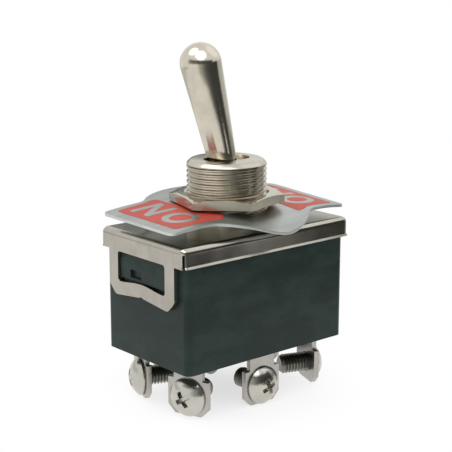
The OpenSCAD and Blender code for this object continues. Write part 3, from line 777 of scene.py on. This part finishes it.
class SWITCH_OT_nut(Making, bpy.types.Operator):
    """Panel nut with chamfered corners and a countersunk bore"""

    bl_idname = "switch.nut"
    bl_label = "Nut"

    def execute(self, context):
        nut = copy_of("panel_nut", "hexagon_nut")
        top = (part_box("panel_nut")[1] / MM).z
        mouth = context.scene.switch_threads.nut_mouth / MM
        crest = MOUNTS["panel_bushing"]["dims"]["r_mm"]
        foot = top - mouth
        cone = turned("cone", [
            (0, foot - 0.2), (crest - 0.2, foot - 0.2), (crest - 0.1, foot),
            (crest + mouth, top), (crest + mouth, top + 1), (0, top + 1),
        ])
        joined("DIFFERENCE", nut, cone, 0.8)
        tidy(nut)
        soften(nut, context.scene.switch_edges.nut, limit=22, segments=3, smooth=40)
        fit(nut, self.finish(context, "nut"), "switch_body", "nickel_turned", "panel_nut")
        return {"FINISHED"}


class SWITCH_OT_plate(Making, bpy.types.Operator):
    """Bent indicator plate with its two enamel fields, and the bare letters on them"""

    bl_idname = "switch.plate"
    bl_label = "Indicator plate"

    ABOVE = 6  # height at which outlines are drawn, above all of the plate
    # Outline of the ON end's field. The OFF end's is the same, turned half round.
    FIELD = (
        (-15.1, 6.9), (-15.1, -6.9), (-6.9, -7.0), (-4.4, -4.6), (-5.9, -2.5), (-6.4, 0.0),
        (-6.3, 2.2), (-7.1, 4.2), (-7.2, 7.9), (-8.4, 7.75), (-10.0, 7.05),
    )

    def execute(self, context):
        sizes = context.scene.switch_plate
        plate = copy_of("indicator_plate", "bent_plate")
        soften(plate, context.scene.switch_edges.plate, limit=40, segments=2, smooth=40)
        bare = self.finish(context, "plate")
        fit(plate, bare, "switch_body", "plate_aluminium", "indicator_plate")
        # Rim faces take the sheared finish, whose lighter colour is a painted highlight
        plate.data.materials.append(self.finish(context, "sheared"))
        for face in plate.data.polygons:
            face.material_index = abs(face.normal.z) < 0.6
        paint = sizes.paint / MM
        sunk = 0.04
        for word, side in (("ON", 1), ("OFF", -1)):
            outline = [(side * x, side * y, self.ABOVE) for x, y in self.FIELD]
            field = drawn("field_" + word, outline, True)
            open_up(field)
            bpy.ops.mesh.bevel(affect="VERTICES", offset=0.5 * MM, segments=4)
            close_up()
            self.lay(field, plate, -sunk, paint + sunk)
            fit(field, self.finish(context, "enamel"), "switch_body", "plate_aluminium")
            middle = -side * sizes.letter_middle / MM
            for i, letter in enumerate(self.letters(word, middle, sizes)):
                letter.name = letter.data.name = f"letter_{word}_{i + 1}"
                self.lay(letter, plate, paint - 0.02, 0.035)
                fit(letter, bare, "switch_body", "plate_aluminium")
        return {"FINISHED"}

    @staticmethod
    def lay(piece, plate, lift, thickness):
        """Bends a flat outline onto the plate and gives it a thickness."""
        corners = [vertex.co / MM for vertex in piece.data.vertices]
        for axis, step in ((0, 0.5), (1, 1.0)):
            low, high = (f(corner[axis] for corner in corners) for f in (min, max))
            for i in range(math.ceil(low / step), math.floor(high / step) + 1):
                open_up(piece)
                point, across = [0, 0, 0], [0, 0, 0]
                point[axis], across[axis] = i * step * MM, 1
                bpy.ops.mesh.bisect(plane_co=point, plane_no=across, threshold=CUT)
        close_up()
        apply(
            piece, "SHRINKWRAP", target=plate, wrap_method="PROJECT", use_project_z=True,
            use_negative_direction=True, use_positive_direction=False,
        )
        open_up(piece)
        bpy.ops.transform.translate(value=(0, 0, lift * MM))
        close_up()
        if piece.data.polygons[0].normal.z < 0:
            open_up(piece)
            bpy.ops.mesh.flip_normals()
            close_up()
        apply(piece, "SOLIDIFY", thickness=thickness * MM, offset=1)
        smooth_off(piece, 40)

    @classmethod
    def letters(cls, word, middle, sizes):
        """Flat letters whose tops point to the ON end."""
        half, stroke = sizes.letter_height / MM / 2, sizes.stroke / MM
        arm_up, arm_short = 0.5, 0.3

        def at(along, up):
            return middle - up, along, cls.ABOVE

        def ring(centre, wide):
            """The letter O, from its middle along the word and half of its width."""
            clear()
            bpy.ops.mesh.primitive_circle_add(vertices=72, radius=1, location=(0, 0, 0))
            letter = named("ring")
            open_up(letter)
            bpy.ops.transform.resize(value=(half * MM, wide * MM, 1))
            bpy.ops.mesh.duplicate()
            bpy.ops.transform.resize(value=((half - stroke) / half, (wide - stroke) / wide, 1))
            bpy.ops.mesh.select_all(action="SELECT")
            bpy.ops.mesh.bridge_edge_loops()
            bpy.ops.transform.translate(value=Vector(at(centre, 0)) * MM)
            close_up()
            return letter

        def bars(start, wide):
            """The letter F, from its start along the word and its width."""
            arm = start + wide
            return drawn("bars", [at(*spot) for spot in (
                (start, -half), (start, half), (arm, half), (arm, half - stroke),
                (start + stroke, half - stroke), (start + stroke, arm_up + stroke / 2),
                (arm - arm_short, arm_up + stroke / 2), (arm - arm_short, arm_up - stroke / 2),
                (start + stroke, arm_up - stroke / 2), (start + stroke, -half),
            )], True)

        if word == "OFF":
            return [ring(-3.5, 2.35), bars(-0.3, 2.75), bars(3.25, 2.75)]
        start, arm, lean = 1.0, 5.4, stroke * 1.15
        return [ring(-2.95, 2.55), drawn("bars", [at(*spot) for spot in (
            (start, -half), (start, half), (start + stroke, half),
            (arm - stroke, -half + lean * 1.5), (arm - stroke, half), (arm, half),
            (arm, -half), (arm - stroke, -half),
            (start + stroke, half - lean * 1.5), (start + stroke, -half),
        )], True)]


class SWITCH_OT_lever(Making, bpy.types.Operator):
    """Bat lever turned in one piece with its ball and tail"""

    bl_idname = "switch.lever"
    bl_label = "Lever"

    # The tail is out of sight, and ends just inside the carrier. The solid's is longer, and
    # reaches through the carrier.
    TAIL = 1.75  # radius of the tail
    SPIGOT = 0.8  # radius of the spigot below it
    SPIGOT_TOP = 6.2  # depth of the spigot's top below the pivot
    RIVET = 1.2  # radius of the spigot's head
    RIVET_HIGH = 0.3  # height of the head
    FOOT = 11.3  # depth of the head's foot below the pivot
    HOLE = 0.85  # radius of the hole for the pivot pin
    HOLE_LONG = 9  # length of the tool that cuts it

    def execute(self, context):
        sizes = context.scene.switch_lever
        neck, tip, ball = (d / MM / 2 for d in (sizes.neck_width, sizes.tip_width, sizes.ball))
        straight, top = sizes.neck / MM, sizes.reach / MM - tip
        neck_meets, tail_meets = (math.sqrt(ball ** 2 - r ** 2) for r in (neck, self.TAIL))
        profile = [
            (0, -self.FOOT), (self.RIVET, -self.FOOT), (self.RIVET, -self.FOOT + self.RIVET_HIGH),
            (self.SPIGOT, -self.FOOT + self.RIVET_HIGH), (self.SPIGOT, -self.SPIGOT_TOP),
            (self.TAIL, -self.SPIGOT_TOP), (self.TAIL, -tail_meets),
        ]
        for i in range(1, 12):
            rise = -tail_meets + (tail_meets + neck_meets) * i / 12
            profile.append((math.sqrt(ball ** 2 - rise ** 2), rise))
        profile += [(neck, neck_meets), (neck, straight)]
        for i in range(1, 5):
            t = i / 5
            profile.append((neck + (tip - neck) * t, straight + (top - straight) * t))
        for i in range(0, 16):
            turn = math.radians(90 * i / 16)
            profile.append((tip * math.cos(turn), top + tip * math.sin(turn)))
        profile.append((0, top + tip))
        lever = turned("bat_lever", profile, 128)
        clear()
        bpy.ops.mesh.primitive_cylinder_add(
            vertices=48, radius=self.HOLE * MM, depth=self.HOLE_LONG * MM,
            rotation=(math.pi / 2, 0, 0),
        )
        joined("DIFFERENCE", lever, named("pin_hole"), 0.9)
        pivot = Vector(frame["joints"][0]["pos_m"])
        open_up(lever)
        bpy.ops.transform.translate(value=pivot)
        close_up()
        lever.data.transform(
            Matrix.Translation(pivot) @ Matrix.Rotation(-sizes.tilt, 4, "Y")
            @ Matrix.Translation(-pivot)
        )
        smooth_off(lever, 32)
        fit(lever, self.finish(context, "polished"), "lever_arm", "nickel_turned", "lever")
        dress("pivot_pin", self.finish(context, "steel"))
        return {"FINISHED"}


class SWITCH_OT_terminals(Making, bpy.types.Operator):
    """Six sheared terminal strips"""

    bl_idname = "switch.terminals"
    bl_label = "Terminals"

    def execute(self, context):
        for node in sorted(name for name in NODES if name.startswith("terminal_")):
            strip = copy_of(node, node.replace("terminal", "strip"))
            soften(strip, context.scene.switch_edges.strip, limit=35)
            fit(strip, self.finish(context, "strip"), "switch_body", "terminal_strip", node)
        return {"FINISHED"}


class SWITCH_OT_screws(Making, bpy.types.Operator):
    """One pan head screw with a cross recess, copied to the six terminals"""

    bl_idname = "switch.screws"
    bl_label = "Screws"

    HEAD = 2.85  # radius of the head
    RISE = 1.7  # height of the head
    FLATTER = 0.35  # added to the radius of its dome, which leaves it a short skirt
    CREST = 1.5  # radius of the thread's crest
    REACH = 5.2  # length of the shank
    TAPER = 0.65  # length of its tapered point
    TOOL = (4.1, 1.0, 2.0)  # length, width and height of the tool for half of the recess
    TOOL_FOOT = (0.35, 0.45)  # shares of its length and width that are left at its foot
    TURN = 20  # turn of a recess in degrees
    TURNS = {"mid_front": 22, "left_front": 31, "right_front": 8}  # those that differ

    def execute(self, context):
        screw = self.pan_head()
        joined("UNION", screw, self.shank(context.scene.switch_threads), 1, 4)
        for turn in (0, 90):
            joined("DIFFERENCE", screw, self.recess(turn), 0.9)
        tidy(screw)
        smooth_off(screw, 30)
        for node in sorted(name for name in NODES if name.startswith("screw_")):
            place = node.removeprefix("screw_")
            seat = MOUNTS["wire_seat_" + place]
            turn = math.radians(self.TURNS.get(place, self.TURN))
            out = Vector(seat["axis"]).normalized()
            down = Vector((0, 0, -1))
            stand = Matrix((down, out.cross(down), out)).transposed().to_4x4()
            pick(screw)
            bpy.ops.object.duplicate()
            one = named("pan_head_" + node)
            one.data.transform(
                Matrix.Translation(seat["pos_m"]) @ stand @ Matrix.Rotation(turn, 4, "Z")
            )
            fit(one, self.finish(context, "screw"), "switch_body", "screw_steel", node)
            # Faces below the seat take the darker shank colour
            one.data.materials.append(self.finish(context, "shank"))
            foot = Vector(seat["pos_m"])
            for face in one.data.polygons:
                face.material_index = (face.center - foot).dot(out) < -0.01 * MM
        drop(screw)
        return {"FINISHED"}

    @classmethod
    def pan_head(cls):
        """The domed head, with a stub below it for the shank."""
        head, rise = cls.HEAD, cls.RISE
        dome = (head ** 2 + rise ** 2) / (2 * rise) + cls.FLATTER

        def height(out):
            return rise - dome + math.sqrt(dome ** 2 - out ** 2)

        profile = [
            (0, -0.4), (1.0, -0.4), (1.0, 0.0), (head - 0.1, 0.0),
            (head, min(0.1, height(head) * 0.5)),
        ]
        profile += [(out, height(out)) for out in (head * (1 - i / 13) for i in range(13))]
        return turned("screw", profile + [(0, rise)], 72)

    @classmethod
    def shank(cls, threads):
        """The threaded shank, tapered at its point."""
        depth, pitch = threads.screw_depth / MM, threads.screw_pitch / MM
        shank = threaded_rod("shank", cls.CREST, depth, pitch, -cls.REACH, -0.02, 40)
        wide = cls.CREST + 0.2
        tip = turned("tip", [
            (0, -cls.REACH), (cls.CREST - 0.45, -cls.REACH), (wide, -cls.REACH + cls.TAPER),
            (wide, 0.2), (0, 0.2),
        ], 48)
        return joined("INTERSECT", shank, tip, 0.85)

    @classmethod
    def recess(cls, turn):
        """The tool for one arm of the cross recess, narrower at its foot."""
        clear()
        bpy.ops.mesh.primitive_cube_add(size=MM)
        slot = named("recess")
        slot.data.transform(Matrix.Diagonal((*cls.TOOL, 1)))
        choose(slot, "FACE", lambda face: face.normal.z < -0.5)
        bpy.ops.transform.resize(value=(*cls.TOOL_FOOT, 1))
        close_up()
        slot.data.transform(
            Matrix.Rotation(math.radians(turn), 4, "Z")
            @ Matrix.Translation((0, 0, cls.RISE * MM))
        )
        return slot


class SWITCH_OT_insides(Making, bpy.types.Operator):
    """Coil springs attached to the lever's body, and finishes of the hidden parts"""

    bl_idname = "switch.insides"
    bl_label = "Insides"

    FINISH = {
        "carrier": "carrier", "plunger": "nylon", "rocker": "brass",
        "moving": "silver", "fixed": "silver",
    }

    def execute(self, context):
        for side in ("front", "back"):
            spring = copy_of("spring_" + side, "coil_spring_" + side)
            smooth_off(spring, 40)
            fit(spring, self.finish(context, "steel"), "lever_arm", "steel", "spring_" + side)
            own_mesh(spring)
        for node in sorted(NODES):
            name = self.FINISH.get(node.split("_")[0])
            if name:
                dress(node, self.finish(context, name))
        return {"FINISHED"}


class SWITCH_OT_stage(Making, bpy.types.Operator):
    """Pale floor, soft lamps, cards for the reflections, and the camera"""

    bl_idname = "switch.stage"
    bl_label = "Stage"

    GROUND = SOLID_BOX[0].z / MM + 0.3
    # Name, span in degrees to the right of the camera, distance, lower and upper heights,
    # and brightness at some degrees
    CARDS = (
        ("card_low", (38, 108), 70, (GROUND, -14),
         (38, 0.5), (50, 0.06), (62, 0.01), (69, 0.02), (76, 0.22), (80, 0.22),
         (87, 0.04), (95, 0.1), (108, 0.5)),
        ("card_near", (-24, 64), 76, (-21, 24),
         (-24, 1.0), (-15, 0.8), (-7, 0.5), (4, 0.4), (14, 0.2), (28, 0.1),
         (45, 0.06), (64, 0.05)),
        ("card_mid", (64, 78), 76, (-10, 36), (64, 0.05), (78, 0.05)),
        ("card_right", (78, 99), 76, (-21, 36), (78, 0.05), (99, 0.05)),
        ("card_high", (-74, 64), 78, (24, 50),
         (-74, 0.8), (-58, 0.25), (-30, 0.12), (0, 0.07), (64, 0.06)),
        ("card_side_low", (99, 146), 96, (GROUND, -16), (99, 0.7), (146, 0.7)),
        ("card_side", (99, 146), 96, (-16, 2), (99, 0.34), (146, 0.3)),
        ("card_side_high", (99, 146), 96, (2, 34), (99, 0.6), (146, 0.7)),
        ("card_left", (-172, -64), 80, (-13, 5),
         (-172, 0.9), (-140, 0.7), (-88, 0.7), (-64, 1.0)),
        ("card_back", (150, 214), 88, (GROUND, 27),
         (150, 0.8), (167, 0.75), (173, 0.9), (178, 0.75), (183, 0.15), (190, 0.1),
         (200, 0.3), (214, 0.8)),
    )
    # Name, place, the point that it faces, width and watts
    LAMPS = (
        ("lamp_key", (-100, -118, 197), (0, 0, 5), 230, 0.24),
        ("lamp_left", (-98, 60, 200), (0, 0, 5), 150, 0.14),
        ("lamp_edge", (130, -42, 150), (0, 0, 0), 180, 0.025),
    )

    def execute(self, context):
        settings = context.scene.switch_stage
        self.world(context.scene, settings.ambient)
        self.floor()
        for name, span, away, heights, *stops in self.CARDS:
            self.card(name, settings, span, away, heights, stops)
        for lamp in self.LAMPS:
            self.lamp(*lamp)
        self.camera(context.scene, settings)
        return {"FINISHED"}

    @staticmethod
    def world(scene, ambient):
        """Even light from all round, and white behind the switch."""
        world = bpy.data.worlds.new("studio")
        scene.world = world
        world.use_nodes = True
        works = Works(world.node_tree)
        rays = [
            works.add("ShaderNodeLightPath", output=name)
            for name in ("Is Camera Ray", "Is Glossy Ray", "Is Transmission Ray")
        ]
        seen = (rays[0] + rays[1] + rays[2]).clipped()
        backdrop = works.add(
            "ShaderNodeBackground", None,
            {"Color": (1.0, 1.0, 1.0), "Strength": ambient + seen * (1.0 - ambient)},
        )
        works.add("ShaderNodeOutputWorld", None, {"Surface": backdrop})

    @staticmethod
    def floor():
        """A pale floor that keeps the switch's shadow and is white further off."""
        clear()
        bpy.ops.mesh.primitive_plane_add(size=6)
        floor = named("floor")
        low = SOLID_BOX[0].z
        floor.data.transform(Matrix.Translation((0, 0, low)))
        works, made = finish_of("pale_floor")
        spot = works.add("ShaderNodeTexCoord", output="Object")
        away = works.add("ShaderNodeVectorMath", {"operation": "LENGTH"}, {0: spot}, "Value")
        paper = works.add("ShaderNodeBsdfDiffuse", None, {"Color": (0.95, 0.95, 0.95)})
        glow = works.add("ShaderNodeEmission", None, {"Color": (1.0, 1.0, 1.0)})
        blend = works.add(
            "ShaderNodeMixShader", None, {0: away.above(0.011, 0.036), 1: paper, 2: glow}
        )
        works.add("ShaderNodeOutputMaterial", None, {"Surface": blend})
        floor.data.materials.append(made)

    @staticmethod
    def facing(place, aim):
        """A matrix at a place whose -Z looks at the aim."""
        place, aim = Vector(place) * MM, Vector(aim) * MM
        turn = (aim - place).to_track_quat("-Z", "Y")
        return Matrix.Translation(place) @ turn.to_matrix().to_4x4()

    @staticmethod
    def card(name, settings, span, away, heights, stops):
        """A curved card that shows only in reflections.

        It stands away from the switch over a span of degrees to the right of the camera,
        between two heights, and is as bright as its stops say at some degrees.
        """
        clear()
        low, high = heights
        half = math.radians(span[1] - span[0]) / 2
        middle = math.atan2(settings.eye[1], settings.eye[0]) + math.radians(sum(span)) / 2
        facing = Vector((math.cos(middle), math.sin(middle), 0))
        bpy.ops.mesh.primitive_cylinder_add(
            vertices=180, radius=away * MM, depth=(high - low) * MM, end_fill_type="NOTHING"
        )
        card = named(name)
        card.data.transform(Matrix.Translation((0, 0, (low + high) / 2 * MM)))
        reach = math.cos(half) * away * MM
        choose(card, "FACE", lambda face: face.center.dot(facing) < reach)
        bpy.ops.mesh.delete(type="FACE")
        close_up()
        card.visible_camera = card.visible_diffuse = card.visible_shadow = False
        works, made = finish_of(name)
        spot = works.add("ShaderNodeTexCoord", output="Object")
        width = 2 * away * MM * math.sin(half)
        along = works.add("ShaderNodeVectorMath", {"operation": "DOT_PRODUCT"}, {
            0: spot, 1: (-facing.y / width, facing.x / width, 0),
        }, "Value")

        def spread(turn):
            """Where a number of degrees falls across the card's width, from 0 to 1."""
            off = math.radians(turn) - math.radians(sum(span)) / 2
            return 0.5 + math.sin(off) / math.sin(half) / 2

        glow = works.add("ShaderNodeEmission", None, {"Color": works.ramp(along + 0.5, *(
            (spread(turn), (level * 0.96, level, level * 0.95)) for turn, level in stops
        ))})
        works.add("ShaderNodeOutputMaterial", None, {"Surface": glow})
        card.data.materials.append(made)

    @classmethod
    def lamp(cls, name, place, aim, size, power):
        """A round soft lamp."""
        clear()
        bpy.ops.object.light_add(type="AREA")
        lamp = bpy.context.object
        lamp.name = name
        lamp.data.shape, lamp.data.size, lamp.data.energy = "DISK", size * MM, power
        lamp.matrix_world = cls.facing(place, aim)

    @classmethod
    def camera(cls, scene, settings):
        """The camera, and plain colours in its picture."""
        clear()
        bpy.ops.object.camera_add()
        camera = bpy.context.object
        camera.name = "studio_camera"
        camera.data.lens, camera.data.sensor_width = settings.lens, 36
        camera.data.clip_start, camera.data.clip_end = 0.01, 20
        camera.matrix_world = cls.facing(
            Vector(settings.eye) / MM, Vector(settings.aim) / MM
        )
        scene.camera = camera
        scene.view_settings.view_transform = "Standard"


STEPS = (
    SWITCH_OT_cover, SWITCH_OT_housing, SWITCH_OT_bushing, SWITCH_OT_nut, SWITCH_OT_plate,
    SWITCH_OT_lever, SWITCH_OT_terminals, SWITCH_OT_screws, SWITCH_OT_insides, SWITCH_OT_stage,
)


class SWITCH_PT_bench(bpy.types.Panel):
    """The switch's steps, in the order in which they are made"""

    bl_label = "Panel toggle switch"
    bl_idname = "SWITCH_PT_bench"
    bl_space_type = "VIEW_3D"
    bl_region_type = "UI"
    bl_category = "Switch"

    def draw(self, context):
        for step in STEPS:
            self.layout.operator(step.bl_idname)
        for group in GROUPS:
            box = self.layout.box()
            for name in getattr(context.scene, group).bl_rna.properties.keys():
                if name not in ("rna_type", "name"):
                    box.prop(getattr(context.scene, group), name)


def register():
    for group, kind in GROUPS.items():
        bpy.utils.register_class(kind)
        setattr(bpy.types.Scene, group, bpy.props.PointerProperty(type=kind))
    for kind in (*STEPS, SWITCH_PT_bench):
        bpy.utils.register_class(kind)


def unregister():
    for kind in (SWITCH_PT_bench, *reversed(STEPS)):
        bpy.utils.unregister_class(kind)
    for group, kind in reversed(GROUPS.items()):
        delattr(bpy.types.Scene, group)
        bpy.utils.unregister_class(kind)


def main():
    """Makes the whole switch."""
    register()
    for step in STEPS:
        getattr(bpy.ops.switch, step.bl_idname.split(".")[1])()
    clear()


if __name__ == "__main__":
    main()
